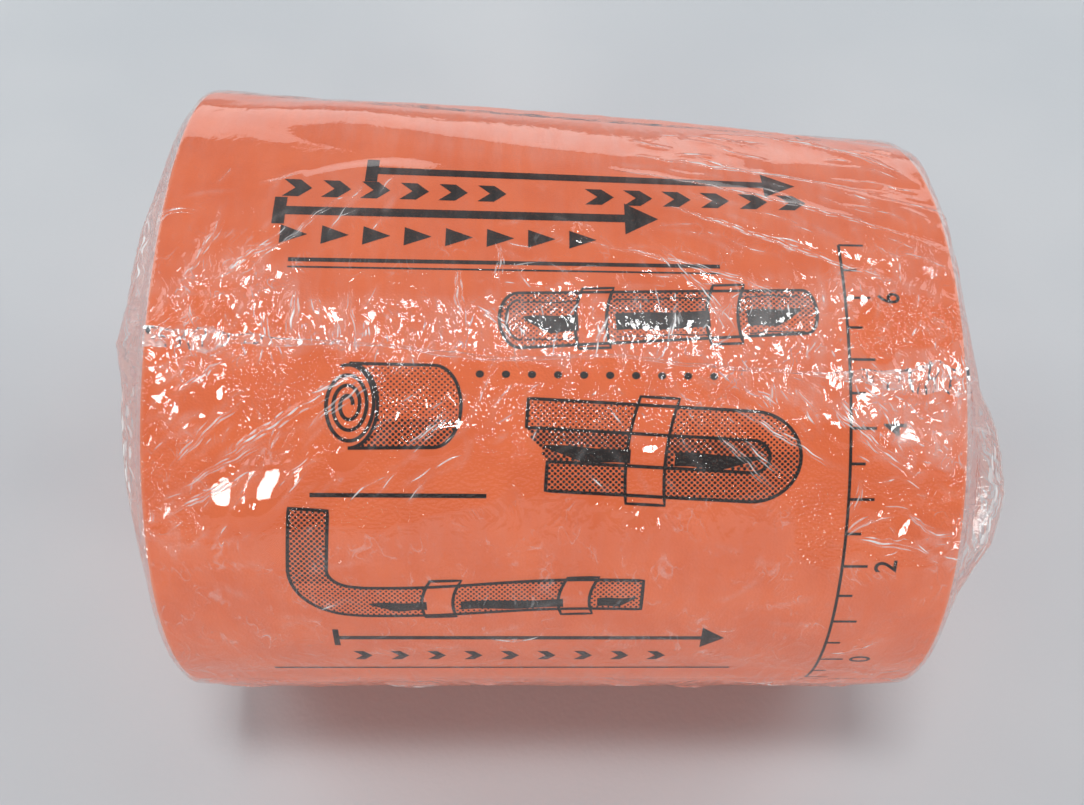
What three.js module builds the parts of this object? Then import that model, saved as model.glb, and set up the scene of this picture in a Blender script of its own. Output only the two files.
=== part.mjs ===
// A splint strip, foam on both faces of an aluminium core, rolled up, lying on its side in clear shrink film.
// Millimetres. X runs along the roll's axis, -Y is the front and +Z is up.
// An angle is measured round the axis, in degrees, from the front towards the top.
import * as THREE from "three";

// The strip
const STRIP_LENGTH = 914;
const STRIP_WIDTH = 108;
const STRIP_CORNER = 10;
const FOAM_THICKNESS = 1.9;
const FOAM_CHAMFER = 0.45;
const CORE_THICKNESS = 0.4;
const CORE_INSET = 1;
const BOND_GAP = 0.3;

// The roll. Its eye is measured to the middle of the core.
const EYE_RADIUS = 16.5;
const TURN_GAP = 1.03;
const TAIL_ANGLE = -145;
const STEPS_PER_TURN = 32;

// How the roll departs from a round cylinder, as shares of its radius
const OVAL_SHARE = 0.075;
const TAPER_SHARE = 0.01;
const ASKEW_SHARE = 0.075;
const ASKEW_ANGLE = 136;
const ASKEW_SPREAD = 38;
const REST_SQUASH = 0.9;

// The film
const FILM_THICKNESS = 0.5;
const FILM_CLEARANCE = 0.5;
const FILM_STEPS = 48;
const VENT_RADIUS = 20;
const PLEAT_RISE = 0.7;
const SEAM_ANGLE = 60.5;
const SEAM_SLANT = -5.5;
const SEAM_WIDTH = 1.8;
const SEAM_HEIGHT = 0.6;
const TAIL_BRIDGE = 42;
const TAIL_COVER = 10;

// How far the film stands out past each end, as shares of END_PUFF, at angles round the roll
const END_PUFF = 5.6;
const PUFF_TABLE = [
  { angle: 0, left: 0, right: 0 },
  { angle: 16, left: 0, right: 0.25 },
  { angle: 26, left: 0.1, right: 0.85 },
  { angle: 36, left: 0.25, right: 1 },
  { angle: 47, left: 0.3, right: 0.75 },
  { angle: 56, left: 0.4, right: 0.35 },
  { angle: 63, left: 0.65, right: 0.25 },
  { angle: 71, left: 0.35, right: 0.15 },
  { angle: 88, left: 0.2, right: 0.05 },
  { angle: 104, left: 0, right: 0 },
  { angle: 360, left: 0, right: 0 },
];

// Stations of the film's profile on an end, from the rim inward: share of the way from the rim to the vent,
// share of the puff, and share of the pleats' rise
const END_STATIONS = [
  { inward: 0.03, puff: 0.6, pleat: 0 },
  { inward: 0.1, puff: 1, pleat: 0.2 },
  { inward: 0.24, puff: 0.6, pleat: 1 },
  { inward: 0.6, puff: 0.1, pleat: 1 },
  { inward: 1, puff: 0, pleat: 0.3 },
];
const BARREL_STATIONS = [-1, -0.5, 0, 0.5, 1];

const LAMINATE = 2 * FOAM_THICKNESS + 2 * BOND_GAP + CORE_THICKNESS;
const PITCH = LAMINATE + TURN_GAP;
const TAIL_RADIUS = Math.sqrt(EYE_RADIUS ** 2 + (STRIP_LENGTH * PITCH) / Math.PI);
const TURNS = (TAIL_RADIUS - EYE_RADIUS) / PITCH;
const FOAM_OFFSET = CORE_THICKNESS / 2 + BOND_GAP + FOAM_THICKNESS / 2;
const HALF_WIDTH = STRIP_WIDTH / 2;

// Radius to the core's middle, the given number of turns in from the tail.
function windingRadius(turnsIn) {
  return TAIL_RADIUS - PITCH * turnsIn;
}

function turnsPastTail(angle) {
  return THREE.MathUtils.euclideanModulo(angle - TAIL_ANGLE, 360) / 360;
}

// The outline that the roll would have with no weight on it, as a factor on its radius.
function freeForm(angle, x) {
  const left = -x / HALF_WIDTH;
  const fromAskew = THREE.MathUtils.euclideanModulo(angle - ASKEW_ANGLE + 180, 360) - 180;
  const askew = ASKEW_SHARE * Math.exp(-((fromAskew / ASKEW_SPREAD) ** 2));
  const oval = OVAL_SHARE * Math.cos(THREE.MathUtils.degToRad(2 * angle));
  return (1 + left * TAPER_SHARE + left * askew) * (1 + oval);
}

// The roll rests on its lowest turn, pressed flat there, with the film pressed closer to it.
const REST_ANGLE = -90;
const REST_RADIUS = windingRadius(turnsPastTail(REST_ANGLE));
const REST_DEPTH = REST_RADIUS * freeForm(REST_ANGLE, 0) - REST_SQUASH;
const AXIS_HEIGHT = REST_DEPTH + LAMINATE / 2 + FILM_CLEARANCE / 2 + FILM_THICKNESS;

// The same outline pressed flat where the roll rests.
function form(angle, x) {
  const down = -Math.sin(THREE.MathUtils.degToRad(angle));
  const free = freeForm(angle, x);
  if (down <= 0) return free;
  return Math.min(free, REST_DEPTH / REST_RADIUS / down);
}

// The point at an angle and a distance from the axis.
function polar(x, radius, angle) {
  const a = THREE.MathUtils.degToRad(angle);
  return new THREE.Vector3(x, -radius * Math.cos(a), AXIS_HEIGHT + radius * Math.sin(a));
}

// A closed mesh through rings of points, with a fan on each end ring, or joined end to end if it loops.
// Each four-sided cell is cut the same way along X, so the facets of neighbouring layers lie parallel.
function skin(rings, loops = false) {
  const count = rings[0].length;
  const points = rings.flat();
  const index = [];
  const spans = loops ? rings.length : rings.length - 1;
  for (let i = 0; i < spans; i++) {
    const here = i * count;
    const next = ((i + 1) % rings.length) * count;
    for (let j = 0; j < count; j++) {
      const k = (j + 1) % count;
      const [a, b, c, d] = [here + j, here + k, next + k, next + j];
      if (points[a].x < points[b].x) index.push(a, b, c, a, c, d);
      else index.push(a, b, d, b, c, d);
    }
  }
  if (!loops) {
    const last = (rings.length - 1) * count;
    for (let j = 1; j < count - 1; j++) {
      index.push(0, j + 1, j);
      index.push(last, last + j, last + j + 1);
    }
  }
  const geometry = new THREE.BufferGeometry().setFromPoints(points);
  geometry.setIndex(index);
  geometry.computeVertexNormals();
  return geometry;
}

// Places along the strip, as turns in from the tail: one at each step, and a few round each end's corners.
function stripPlaces() {
  const cornerCuts = [0, 0.12, 0.35, 1].map((share) => share * STRIP_CORNER);
  const places = [];
  for (let i = 0; i <= TURNS * STEPS_PER_TURN; i++) places.push(i / STEPS_PER_TURN);
  for (const cut of cornerCuts) {
    places.push(cut / (2 * Math.PI * TAIL_RADIUS));
    places.push(TURNS - cut / (2 * Math.PI * EYE_RADIUS));
  }
  const shortest = 0.05 / STEPS_PER_TURN;
  return places.sort((a, b) => a - b).filter((t, i, all) => i === 0 || t - all[i - 1] > shortest);
}

// Half the strip's width at a place, less where its corners are rounded.
function halfWidthAt(turnsIn) {
  const fromTail = turnsIn * 2 * Math.PI * TAIL_RADIUS;
  const fromEye = (TURNS - turnsIn) * 2 * Math.PI * EYE_RADIUS;
  const short = STRIP_CORNER - Math.min(fromTail, fromEye, STRIP_CORNER);
  return HALF_WIDTH - STRIP_CORNER + Math.sqrt(STRIP_CORNER ** 2 - Math.max(short, 0) ** 2);
}

// One layer of the strip: a slab at an offset from the core's middle, wound up with the roll.
function woundLayer({ offset, thickness, inset, chamfer }) {
  const rings = stripPlaces().map((turnsIn) => {
    const angle = TAIL_ANGLE + 360 * turnsIn;
    const edge = halfWidthAt(turnsIn) - inset;
    const low = offset - thickness / 2;
    const high = offset + thickness / 2;
    const flat = edge - chamfer;
    const rightEdge = chamfer > 0 ? [[edge, high - chamfer], [edge, low + chamfer]] : [];
    const leftEdge = chamfer > 0 ? [[-edge, low + chamfer], [-edge, high - chamfer]] : [];
    const section = [
      [-flat, high], [0, high], [flat, high], ...rightEdge,
      [flat, low], [0, low], [-flat, low], ...leftEdge,
    ];
    return section.map(([x, out]) => polar(x, windingRadius(turnsIn) * form(angle, x) + out, angle));
  });
  return skin(rings);
}

// The film's outer radius on the barrel: it follows the outermost turn, and bridges the step at the tail.
function filmRadius(angle, x) {
  const past = turnsPastTail(angle);
  const bridge = THREE.MathUtils.smoothstep(360 * past, 360 - TAIL_BRIDGE, 360 - TAIL_COVER);
  const core = windingRadius(past * (1 - bridge));
  return core * form(angle, x) + LAMINATE / 2 + FILM_CLEARANCE + FILM_THICKNESS;
}

function puffAt(angle, side) {
  const a = THREE.MathUtils.euclideanModulo(angle, 360);
  const next = PUFF_TABLE.findIndex((row) => row.angle > a);
  const from = PUFF_TABLE[next - 1];
  const to = PUFF_TABLE[next];
  const share = THREE.MathUtils.mapLinear(a, from.angle, to.angle, from[side], to[side]);
  return END_PUFF * share;
}

// The film's outer line on one end, from the rim to the vent, as points of x and radius.
function endLine(angle, side, pleat) {
  const sign = side === "left" ? -1 : 1;
  const rim = filmRadius(angle, sign * HALF_WIDTH);
  const inner = VENT_RADIUS * form(angle, sign * HALF_WIDTH);
  const base = HALF_WIDTH + FILM_CLEARANCE + FILM_THICKNESS;
  return END_STATIONS.map((row) => {
    const out = base + row.puff * puffAt(angle, side) + row.pleat * pleat * PLEAT_RISE;
    return [sign * out, THREE.MathUtils.lerp(rim, inner, row.inward)];
  });
}

// Shift each point of a line in x and radius to its inner side by the film's thickness.
function insetLine(line) {
  return line.map(([x, r], i) => {
    const [ax, ar] = line[Math.max(i - 1, 0)];
    const [bx, br] = line[Math.min(i + 1, line.length - 1)];
    const length = Math.hypot(bx - ax, br - ar);
    return [x + (FILM_THICKNESS * (br - ar)) / length, r - (FILM_THICKNESS * (bx - ax)) / length];
  });
}

// The clear film: a sleeve round the roll, drawn in over both ends, open in the middle of each.
function filmWrap() {
  const seamTurn = THREE.MathUtils.radToDeg(SEAM_WIDTH / 2 / TAIL_RADIUS);
  const columns = [
    { turn: 0, rise: SEAM_HEIGHT, pleat: 0 },
    { turn: seamTurn, rise: 0, pleat: 0 },
  ];
  for (let i = 1; i < FILM_STEPS; i++) {
    columns.push({ turn: (360 * i) / FILM_STEPS, rise: 0, pleat: i % 2 });
  }
  columns.push({ turn: 360 - seamTurn, rise: 0, pleat: 0 });
  const rings = columns.map(({ turn, rise, pleat }) => {
    const angleAt = (x) => SEAM_ANGLE + turn + (SEAM_SLANT * x) / STRIP_WIDTH;
    const barrel = BARREL_STATIONS.map((share) => {
      const x = share * (HALF_WIDTH + FILM_CLEARANCE / 2);
      return [x, filmRadius(angleAt(x), x)];
    });
    const left = endLine(angleAt(-HALF_WIDTH), "left", pleat);
    const right = endLine(angleAt(HALF_WIDTH), "right", pleat);
    const outer = [...left.toReversed(), ...barrel, ...right];
    const inner = insetLine(outer);
    const place = ([x, r], floor) => {
      const p = polar(x, r, angleAt(THREE.MathUtils.clamp(x, -HALF_WIDTH, HALF_WIDTH)));
      p.z = Math.max(p.z, floor);
      return p;
    };
    const raised = outer.map(([x, r]) => [x, r + rise]);
    return [
      ...raised.map((at) => place(at, 0)),
      ...inner.toReversed().map((at) => place(at, FILM_THICKNESS)),
    ];
  });
  return skin(rings, true);
}

function material(color, roughness, metalness, extra = {}) {
  return new THREE.MeshStandardMaterial({ color, roughness, metalness, ...extra });
}

function piece(name, geometry, look) {
  const mesh = new THREE.Mesh(geometry, look);
  mesh.name = name;
  return mesh;
}

const foamLook = material(0xe8713c, 0.85, 0);
const coreLook = material(0xb9bcc0, 0.4, 1);
const filmLook = material(0xf4f4f4, 0.1, 0, { transparent: true, opacity: 0.25 });

const foam = { thickness: FOAM_THICKNESS, inset: 0, chamfer: FOAM_CHAMFER };
const core = { offset: 0, thickness: CORE_THICKNESS, inset: CORE_INSET, chamfer: 0 };

const roll = new THREE.Group();
roll.add(piece("outer_foam", woundLayer({ ...foam, offset: FOAM_OFFSET }), foamLook));
roll.add(piece("aluminium_core", woundLayer(core), coreLook));
roll.add(piece("inner_foam", woundLayer({ ...foam, offset: -FOAM_OFFSET }), foamLook));
roll.add(piece("film_wrap", filmWrap(), filmLook));

// The origin is the middle of the base of the whole.
const extent = new THREE.Box3().setFromObject(roll);
roll.position.set(-(extent.min.x + extent.max.x) / 2, -(extent.min.y + extent.max.y) / 2, -extent.min.z);

const splint = new THREE.Group();
splint.add(roll);

export default splint;
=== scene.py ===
"""A splint strip, foam on both faces of an aluminium core, rolled up in clear shrink film.
Shapes are worked out in millimetres. X runs along the roll's axis, and an angle is measured round it,
in degrees, from the front towards the top."""

import bpy
import numpy as np
from mathutils import Matrix, Vector
from mathutils.geometry import delaunay_2d_cdt


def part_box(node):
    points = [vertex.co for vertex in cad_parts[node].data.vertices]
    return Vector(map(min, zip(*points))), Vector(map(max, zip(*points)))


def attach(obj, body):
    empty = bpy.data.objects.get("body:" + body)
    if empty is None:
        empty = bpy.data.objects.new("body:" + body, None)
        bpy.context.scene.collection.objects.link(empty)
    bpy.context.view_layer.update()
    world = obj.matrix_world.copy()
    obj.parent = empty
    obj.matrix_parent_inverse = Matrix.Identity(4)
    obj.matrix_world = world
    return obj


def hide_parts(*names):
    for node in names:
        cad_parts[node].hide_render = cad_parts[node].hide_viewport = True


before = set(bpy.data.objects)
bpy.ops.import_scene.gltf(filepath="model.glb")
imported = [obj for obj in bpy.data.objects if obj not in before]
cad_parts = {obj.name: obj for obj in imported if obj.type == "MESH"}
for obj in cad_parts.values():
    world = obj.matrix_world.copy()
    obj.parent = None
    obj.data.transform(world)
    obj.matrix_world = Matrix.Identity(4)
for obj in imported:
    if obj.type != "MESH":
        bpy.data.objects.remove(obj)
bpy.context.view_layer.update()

MM = 0.001

# The strip and its roll, the same values as the solids
STRIP_LENGTH = 914
STRIP_WIDTH = 108
STRIP_CORNER = 10
FOAM_THICKNESS = 1.9
CORE_THICKNESS = 0.4
CORE_INSET = 1
BOND_GAP = 0.3
EYE_RADIUS = 16.5
TURN_GAP = 1.03
TAIL_ANGLE = -145
OVAL_SHARE = 0.075
TAPER_SHARE = 0.01
ASKEW_SHARE = 0.075
ASKEW_ANGLE = 136
ASKEW_SPREAD = 38
REST_SQUASH = 0.9
FILM_THICKNESS = 0.5
FILM_CLEARANCE = 0.5
VENT_RADIUS = 20
SEAM_ANGLE = 60.5
SEAM_SLANT = -5.5
TAIL_BRIDGE = 42
TAIL_COVER = 10
END_PUFF = 5.6
PUFF_ANGLES = [0, 16, 26, 36, 47, 56, 63, 71, 88, 104, 360]
LEFT_PUFFS = [0, 0.06, 0.22, 0.36, 0.42, 0.5, 0.68, 0.52, 0.46, 0.30, 0]
RIGHT_PUFFS = [0, 0.25, 0.85, 1, 0.75, 0.35, 0.25, 0.15, 0.05, 0, 0]

LAMINATE = 2 * FOAM_THICKNESS + 2 * BOND_GAP + CORE_THICKNESS
PITCH = LAMINATE + TURN_GAP
TAIL_RADIUS = np.sqrt(EYE_RADIUS**2 + STRIP_LENGTH * PITCH / np.pi)
TURNS = (TAIL_RADIUS - EYE_RADIUS) / PITCH
HALF_WIDTH = STRIP_WIDTH / 2

# Finer than the solids
ROLL_STEPS = 120
FOAM_EDGE = 0.75
CORE_EDGE = 0.1
BOND_LINE = 0.01
ARC = 0.82
TURN_ARC = 360 * ARC


# The roll's shape
def winding_radius(turns_in):
    """Radius to the core's middle, that many turns in from the tail."""
    return TAIL_RADIUS - PITCH * turns_in


def turns_past_tail(angle):
    return np.mod(angle - TAIL_ANGLE, 360) / 360


def free_form(angle, x):
    """The outline of the roll with no weight on it, as a factor on its radius."""
    left = -x / HALF_WIDTH
    from_askew = np.mod(angle - ASKEW_ANGLE + 180, 360) - 180
    askew = ASKEW_SHARE * np.exp(-((from_askew / ASKEW_SPREAD) ** 2))
    oval = OVAL_SHARE * np.cos(np.radians(2 * angle))
    return (1 + left * TAPER_SHARE + left * askew) * (1 + oval)


REST_RADIUS = winding_radius(turns_past_tail(-90))
REST_DEPTH = REST_RADIUS * free_form(-90, 0) - REST_SQUASH
AXIS_HEIGHT = REST_DEPTH + LAMINATE / 2 + FILM_CLEARANCE / 2 + FILM_THICKNESS


def form(angle, x):
    """The same outline, pressed flat where the roll rests."""
    down = -np.sin(np.radians(angle))
    free = free_form(angle, x)
    return np.where(down > 0, np.minimum(free, REST_DEPTH / REST_RADIUS / np.maximum(down, 1e-6)), free)


def outer_reach(angle, x):
    """From the axis to the outermost foam face, bridging the step at the tail as the film does."""
    past = turns_past_tail(angle)
    share = np.clip((360 * past - 360 + TAIL_BRIDGE) / (TAIL_BRIDGE - TAIL_COVER), 0, 1)
    bridge = share * share * (3 - 2 * share)
    return winding_radius(past * (1 - bridge)) * form(angle, x) + LAMINATE / 2


ALL_ROUND = np.linspace(0, 360, 721)
foam_low, foam_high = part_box("outer_foam")
MID_X = (foam_low.x + foam_high.x) / 2 / MM
FRONT_REACH = max(
    np.max(outer_reach(ALL_ROUND, x) * np.cos(np.radians(ALL_ROUND))) for x in (-HALF_WIDTH, HALF_WIDTH)
)
MID_Y = foam_low.y / MM + FRONT_REACH


def roll_point(x, distance, angle):
    """Metres, from millimetres along and out from the axis and degrees round it."""
    a = np.radians(angle)
    x, y, z = np.broadcast_arrays(x, -distance * np.cos(a), distance * np.sin(a))
    return np.stack([MID_X + x, MID_Y + y, AXIS_HEIGHT + z], -1) * MM


# Meshes
def piece(name, points, faces, material, slot=None, node=None, smooth=True):
    """A mesh object that rides on the one body when a slot is given, and hides a node of the solids if
    one is given.
    """
    mesh = bpy.data.meshes.new(name)
    mesh.from_pydata(np.asarray(points, float).reshape(-1, 3).tolist(), [], faces)
    mesh.update()
    mesh.materials.append(material)
    if smooth:
        mesh.shade_smooth()
    made = bpy.data.objects.new(name, mesh)
    bpy.context.scene.collection.objects.link(made)
    if slot:
        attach(made, "root")
    if node:
        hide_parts(node)
    return made


def lattice(rows, columns, closed=False):
    """Faces between neighbouring rows of points, each row closed on itself or open."""
    spans = columns if closed else columns - 1
    i, j = np.meshgrid(np.arange(rows - 1), np.arange(spans), indexing="ij")
    k = (j + 1) % columns
    near, far = i * columns, (i + 1) * columns
    return np.stack([near + j, near + k, far + k, far + j], -1).reshape(-1, 4).tolist()


def note(made, name, values):
    """Keeps a value or a vector for each point of a mesh, for its material."""
    values = np.asarray(values, np.float32)
    kind = "FLOAT_VECTOR" if values.shape[-1] == 3 else "FLOAT"
    field = made.data.attributes.new(name, kind, "POINT")
    field.data.foreach_set("vector" if kind == "FLOAT_VECTOR" else "value", values.ravel())


# Noise and marks on the sheet
def ripple(x, s, size, seed):
    """Smooth noise from -1 to 1 over the sheet, which meets itself after a full turn."""
    rows = max(3, round(TURN_ARC / size))
    columns = int(280 / size) + 4
    table = np.random.default_rng(seed).uniform(-1, 1, (rows, columns))
    u = np.clip(x / size + columns / 2, 0, columns - 2)
    v = s / TURN_ARC * rows
    j, i = np.floor(u).astype(int), np.floor(v).astype(int)
    fu, fv = u - j, v - i
    fu, fv = fu * fu * (3 - 2 * fu), fv * fv * (3 - 2 * fv)
    low, high = i % rows, (i + 1) % rows
    near = table[low, j] * (1 - fu) + table[low, j + 1] * fu
    far = table[high, j] * (1 - fu) + table[high, j + 1] * fu
    return near * (1 - fv) + far * fv


def crumple(x, s, size, seed):
    """Sharp-edged facets from 0 to 1, as of crushed film."""
    total = 0
    for step, share in enumerate((0.55, 0.3, 0.15)):
        bend = 0.8 * ripple(x, s, size * 1.7, seed + 31 + step)
        facets = ripple(x + bend, s - bend, size * 0.62**step, seed + step)
        total = total + share * (1 - np.abs(facets) * 1.6)
    return np.clip(total, 0, 1)


def ease(value):
    value = np.clip(value, 0, 1)
    return value * value * (3 - 2 * value)


def spot(x, s, place, size, lean=0, soft=0.5):
    """1 inside an oval on the sheet, easing to 0 past its edge. The place is in mm and degrees."""
    dx, ds = x - place[0], s - place[1] * ARC
    a = np.radians(lean)
    u = (dx * np.cos(a) + ds * np.sin(a)) / size[0]
    v = (-dx * np.sin(a) + ds * np.cos(a)) / size[1]
    return ease((1 + soft - np.hypot(u, v)) / soft)


# Materials
class Sockets:
    """Adds nodes to one tree, and joins or sets their inputs by name."""

    def __init__(self, tree):
        self.tree = tree

    def add(self, kind, at=None, **settings):
        node = self.tree.nodes.new("ShaderNode" + kind)
        for name, value in settings.items():
            setattr(node, name, value)
        for name, value in (at or {}).items():
            socket = node.inputs[name]
            if isinstance(value, bpy.types.NodeSocket):
                self.tree.links.new(value, socket)
            else:
                socket.default_value = value
        return node

    def math(self, operation, a, b=0.0, c=0.0, clamp=False):
        return self.add("Math", {0: a, 1: b, 2: c}, operation=operation, use_clamp=clamp).outputs[0]

    def noise(self, where, scale, detail, roughness):
        at = {"Vector": where, "Scale": scale, "Detail": detail, "Roughness": roughness}
        return self.add("TexNoise", at, noise_dimensions="2D").outputs["Fac"]

    def stretch(self, where, scale, turn=0.0):
        at = {"Vector": where, "Scale": scale, "Rotation": (0, 0, np.radians(turn))}
        return self.add("Mapping", at).outputs[0]

    def between(self, value, low, high, out_low=0.0, out_high=1.0):
        at = {"Value": value, "From Min": low, "From Max": high, "To Min": out_low, "To Max": out_high}
        return self.add("MapRange", at, interpolation_type="SMOOTHSTEP").outputs[0]

    def blend(self, share, a, b):
        node = self.tree.nodes.new("ShaderNodeMix")
        node.data_type = "RGBA"
        for socket, value in ((0, share), (6, a), (7, b)):
            if isinstance(value, bpy.types.NodeSocket):
                self.tree.links.new(value, node.inputs[socket])
            else:
                node.inputs[socket].default_value = value
        return node.outputs[2]


def effect(name, inputs, outputs):
    """An empty shader group. Returns the group, its nodes, and its named inputs and outputs."""
    group = bpy.data.node_groups.new(name, "ShaderNodeTree")
    for label, kind, value in inputs:
        socket = group.interface.new_socket(label, in_out="INPUT", socket_type="NodeSocket" + kind)
        if value is not None:
            socket.default_value = value
    for label, kind in outputs:
        group.interface.new_socket(label, in_out="OUTPUT", socket_type="NodeSocket" + kind)
    nodes = Sockets(group)
    given = group.nodes.new("NodeGroupInput").outputs
    wanted = group.nodes.new("NodeGroupOutput").inputs
    return group, nodes, given, wanted


def place_effect(nodes, group, at):
    node = nodes.tree.nodes.new("ShaderNodeGroup")
    node.node_tree = group
    for name, value in at.items():
        if isinstance(value, bpy.types.NodeSocket):
            nodes.tree.links.new(value, node.inputs[name])
        else:
            node.inputs[name].default_value = value
    return node.outputs


def cell_grain():
    """The small closed cells of the foam's skin: foam, ink and clinging film all follow them."""
    group, n, given, wanted = effect(
        "cell grain",
        [("Where", "Vector", None), ("Cell Size", "Float", 0.35)],
        [("Height", "Float"), ("Mottle", "Float")],
    )
    scale = n.math("DIVIDE", 1.0, given["Cell Size"])
    flat = {"feature": "F1", "voronoi_dimensions": "2D"}
    cells = n.add("TexVoronoi", {"Vector": given["Where"], "Scale": scale}, **flat).outputs["Distance"]
    pits = n.noise(given["Where"], n.math("MULTIPLY", scale, 0.45), 2.0, 0.6)
    height = n.math("MULTIPLY_ADD", pits, 0.6, n.math("MULTIPLY", cells, 0.65))
    n.tree.links.new(height, wanted["Height"])
    n.tree.links.new(n.noise(given["Where"], 0.11, 2.0, 0.55), wanted["Mottle"])
    return group


def film_lines():
    """Fine crease lines in crushed film, which the film's material whitens, partly as creased film
    whitens and partly as a painted highlight, and the small facets between them.
    """
    group, n, given, wanted = effect(
        "film lines",
        [("Where", "Vector", None), ("Amount", "Float", 0.5)],
        [("Lines", "Float"), ("Height", "Float")],
    )
    broad = {"Vector": given["Where"], "Scale": 0.16, "Detail": 1.0}
    swirl = n.add("TexNoise", broad, noise_dimensions="2D").outputs["Color"]
    moved = n.add("VectorMath", {0: swirl, 1: (5.0, 5.0, 0.0)}, operation="MULTIPLY").outputs[0]
    bent = n.add("VectorMath", {0: given["Where"], 1: moved}, operation="ADD").outputs[0]
    heights, lines = [], []
    for scale, turn, stretch in ((0.34, 34, 0.42), (0.62, -38, 0.5), (1.3, 80, 0.6)):
        field = n.noise(n.stretch(bent, (scale, scale * stretch, scale), turn), 1.0, 1.0, 0.4)
        ridge = n.math("ABSOLUTE", n.math("SUBTRACT", field, 0.5))
        heights.append(n.math("MULTIPLY", ridge, -1.1 / scale))
        lines.append(n.between(ridge, 0.0, 0.016, 1.0, 0.0))
    height = n.math("ADD", n.math("ADD", heights[0], heights[1]), heights[2])
    gate = n.between(n.noise(given["Where"], 0.24, 2.0, 0.6), 0.48, 0.66)
    all_lines = n.math("MAXIMUM", lines[0], lines[1])
    all_lines = n.math("MAXIMUM", all_lines, n.math("MULTIPLY", lines[2], 0.7))
    shown = n.math("MULTIPLY", n.math("MULTIPLY", all_lines, gate), given["Amount"], clamp=True)
    n.tree.links.new(shown, wanted["Lines"])
    n.tree.links.new(n.math("MULTIPLY", height, given["Amount"]), wanted["Height"])
    return group


CELL_GRAIN = cell_grain()
FILM_LINES = film_lines()


def new_material(name):
    material = bpy.data.materials.new(name)
    material.use_nodes = True
    tree = material.node_tree
    tree.nodes.clear()
    nodes = Sockets(tree)
    return material, nodes, tree.nodes.new("ShaderNodeOutputMaterial").inputs["Surface"]


def sheet_place(nodes):
    """The place on the flat sheet in millimetres, with its cut edges folded out beside it."""
    place = nodes.add("Attribute", attribute_name="sheet_place").outputs["Vector"]
    across, along, through = nodes.add("SeparateXYZ", {0: place}).outputs
    return nodes.add("CombineXYZ", {0: nodes.math("ADD", across, through), 1: along}).outputs[0]


def foam_material(name, colour, deep):
    """Soft closed-cell foam with a fine skin, a little uneven in tone, with painted shade in its cell
    pits and a painted highlight on its rounded edges.
    """
    material, n, surface = new_material(name)
    where = sheet_place(n)
    grain = place_effect(n, CELL_GRAIN, {"Where": where, "Cell Size": 0.42})
    edge = n.add("Attribute", attribute_name="cut_edge").outputs["Fac"]
    tone = n.blend(n.between(grain["Mottle"], 0.3, 0.72), deep, colour)
    # Painted shade: the cell pits, the low places of the grain, are darkened towards the deep tone
    pits = n.between(grain["Height"], 0.34, 0.62, 1.0, 0.0)
    tone = n.blend(n.math("MULTIPLY", pits, 0.16), tone, deep)
    # Painted highlight: the rounded long edges are blended towards a paler tone
    painted_edge_highlight = tuple(0.55 * c + 0.45 * w for c, w in zip(colour, (1.0, 0.72, 0.55, 1.0)))
    tone = n.blend(n.math("MULTIPLY", edge, 0.4), tone, painted_edge_highlight)
    bump = n.add("Bump", {"Strength": 0.35, "Distance": 0.00012, "Height": grain["Height"]}).outputs[0]
    look = n.add(
        "BsdfPrincipled",
        {
            "Base Color": tone,
            "Roughness": n.between(grain["Mottle"], 0.2, 0.8, 0.62, 0.78),
            "Specular IOR Level": 0.32,
            "Sheen Weight": 0.12,
            "Sheen Roughness": 0.5,
            "Normal": bump,
        },
    )
    n.tree.links.new(look.outputs[0], surface)
    return material


def ink_material():
    """Black print on the foam's skin, thin enough to follow its cells."""
    material, n, surface = new_material("black print")
    where = sheet_place(n)
    grain = place_effect(n, CELL_GRAIN, {"Where": where, "Cell Size": 0.42})
    thin = n.between(grain["Height"], 0.30, 0.52, 0.55, 0.0)
    tone = n.blend(thin, (0.012, 0.007, 0.006, 1), (0.09, 0.028, 0.015, 1))
    bump = n.add("Bump", {"Strength": 0.3, "Distance": 0.0001, "Height": grain["Height"]}).outputs[0]
    look = n.add(
        "BsdfPrincipled",
        {"Base Color": tone, "Roughness": 0.5, "Specular IOR Level": 0.4, "Normal": bump},
    )
    n.tree.links.new(look.outputs[0], surface)
    return material


def aluminium_material():
    """Soft rolled sheet, with the mill's lines along it."""
    material, n, surface = new_material("mill aluminium")
    where = sheet_place(n)
    lines = n.noise(n.stretch(where, (3.2, 0.05, 1)), 1.0, 4.0, 0.6)
    smears = n.noise(n.stretch(where, (0.08, 0.05, 1)), 1.0, 3.0, 0.6)
    tone = n.blend(n.between(smears, 0.3, 0.7), (0.46, 0.47, 0.49, 1), (0.66, 0.67, 0.68, 1))
    bump = n.add("Bump", {"Strength": 0.2, "Distance": 0.00003, "Height": lines}).outputs[0]
    rough = n.between(lines, 0.25, 0.75, 0.28, 0.46)
    look = n.add(
        "BsdfPrincipled",
        {"Base Color": tone, "Metallic": 1.0, "Roughness": rough, "Normal": bump},
    )
    n.tree.links.new(look.outputs[0], surface)
    return material


# A little over the plastic's own refractive index, as a film mirrors from both its faces
FILM_INDEX = 1.58


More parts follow.
